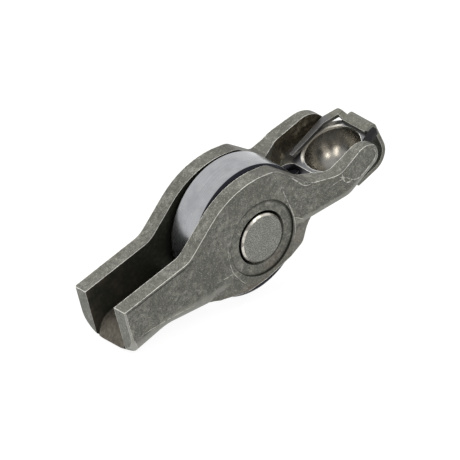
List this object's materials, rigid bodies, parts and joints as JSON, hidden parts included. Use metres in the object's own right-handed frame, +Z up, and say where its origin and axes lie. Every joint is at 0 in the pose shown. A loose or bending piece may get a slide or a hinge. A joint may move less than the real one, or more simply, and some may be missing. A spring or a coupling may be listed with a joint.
{
  "type": "rocker arm",
  "caption": "Pressed steel roller finger follower with a needle roller on a riveted pin, a valve pad, a ball socket and a spring clip.",
  "frame": {"origin": "centre of the roller, on its axis", "axes": "+X towards the ball socket end, +Y across the lever along the roller's axis, +Z up with the lever lying at rest on its roller and the lower edge of its valve end"},
  "size_m": [0.0481, 0.0148, 0.019],
  "materials": {
    "lever_steel": "tumbled, grey, with bright worn edges",
    "pin_steel": "fine ground",
    "roller_steel": "ground and honed",
    "clip_steel": "spring sheet, dark grey",
    "needle_steel": "ground"
  },
  "bodies": {
    "lever": {"lever_body": "lever_steel", "axle_pin": "pin_steel", "retaining_clip": "clip_steel"},
    "cam_roller": {"roller_ring": "roller_steel"},
    "needle_set": {"needle_01": "needle_steel", "needle_02": "needle_steel", "needle_03": "needle_steel", "needle_04": "needle_steel", "needle_05": "needle_steel", "needle_06": "needle_steel", "needle_07": "needle_steel", "needle_08": "needle_steel", "needle_09": "needle_steel", "needle_10": "needle_steel", "needle_11": "needle_steel", "needle_12": "needle_steel", "needle_13": "needle_steel", "needle_14": "needle_steel", "needle_15": "needle_steel", "needle_16": "needle_steel", "needle_17": "needle_steel"}
  },
  "joints": [
    {"name": "roller_spin", "type": "hinge", "parent": "lever", "child": "cam_roller", "pos_m": [0, 0, 0], "axis": [0, 1, 0], "continuous": true},
    {"name": "needle_orbit", "type": "hinge", "parent": "lever", "child": "needle_set", "pos_m": [0, 0, 0], "axis": [0, 1, 0], "continuous": true}
  ],
  "couplings": [
    {"joint": "needle_orbit", "follows": "roller_spin", "ratio": 0.59368}
  ]
}
